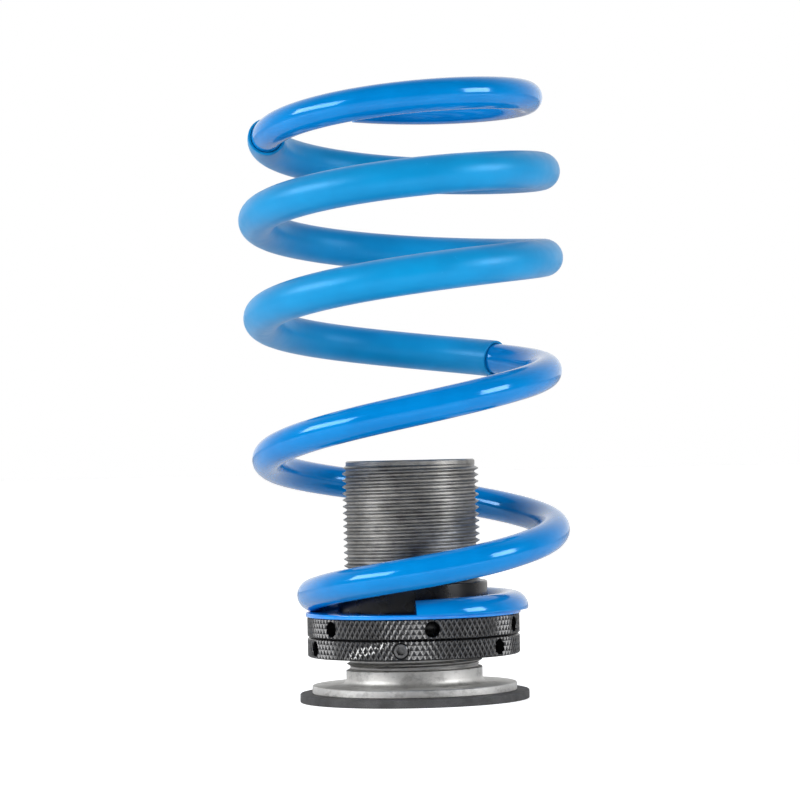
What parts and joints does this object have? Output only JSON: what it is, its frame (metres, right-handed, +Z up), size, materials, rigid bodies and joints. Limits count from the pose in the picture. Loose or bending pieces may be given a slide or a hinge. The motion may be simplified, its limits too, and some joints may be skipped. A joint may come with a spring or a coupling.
{
  "type": "strut assembly",
  "caption": "Blue coil spring standing on a ring-type height adjuster: black knurled rings on a threaded steel sleeve whose foot flange has a rubber pad.",
  "frame": {"origin": "centre of the rubber pad's underside, on the axis of the thread", "axes": "+Z up along the threaded sleeve towards the spring's upper end; -Y towards the coil's lower tip and the lock screw"},
  "size_m": [0.1245, 0.1246, 0.2387],
  "materials": {
    "sleeve_steel": "turned, dull grey",
    "pad_rubber": "matt moulded",
    "ring_black": "black anodised, knurled rim",
    "screw_steel": "dark, lightly oiled",
    "nylon": "natural nylon",
    "slip_ring_blue": "bright gloss",
    "spring_blue": "gloss powder coat",
    "hose_blue": "satin"
  },
  "bodies": {
    "sleeve": {"threaded_sleeve": "sleeve_steel", "base_pad": "pad_rubber"},
    "slip_ring": {"slip_ring": "slip_ring_blue"},
    "seat_ring": {"seat_ring": "ring_black"},
    "lock_ring": {"lock_ring": "ring_black"},
    "lock_pad": {"lock_screw_pad": "nylon"},
    "lock_screw": {"lock_screw": "screw_steel"},
    "spring": {"coil_spring": "spring_blue", "spring_hose": "hose_blue"}
  },
  "joints": [
    {"name": "seat_lift", "type": "slide", "parent": "sleeve", "child": "slip_ring", "axis": [0, 0, 1], "range_m": [-0.003, 0.04]},
    {"name": "seat_ring_turn", "type": "hinge", "parent": "slip_ring", "child": "seat_ring", "pos_m": [0, 0, 0.0286], "axis": [0, 0, 1], "range_deg": [-432, 5760]},
    {"name": "lock_ring_turn", "type": "hinge", "parent": "slip_ring", "child": "lock_ring", "pos_m": [0, 0, 0.02085], "axis": [0, 0, 1], "range_deg": [-432, 5760]},
    {"name": "lock_pad_slide", "type": "slide", "parent": "lock_ring", "child": "lock_pad", "axis": [-0.1219, -0.9925, 0], "range_m": [0, 0.002]},
    {"name": "lock_screw_turn", "type": "hinge", "parent": "lock_pad", "child": "lock_screw", "pos_m": [-0.00486, -0.0396, 0.02085], "axis": [-0.1219, -0.9925, 0], "range_deg": [0, 720]},
    {"name": "spring_turn", "type": "hinge", "parent": "slip_ring", "child": "spring", "pos_m": [0, 0, 0.034], "axis": [0, 0, 1], "continuous": true}
  ],
  "couplings": [
    {"joint": "seat_ring_turn", "follows": "seat_lift", "rad_per_m": 2513.3},
    {"joint": "lock_ring_turn", "follows": "seat_lift", "rad_per_m": 2513.3},
    {"joint": "lock_screw_turn", "follows": "lock_pad_slide", "rad_per_m": 6283.2}
  ]
}
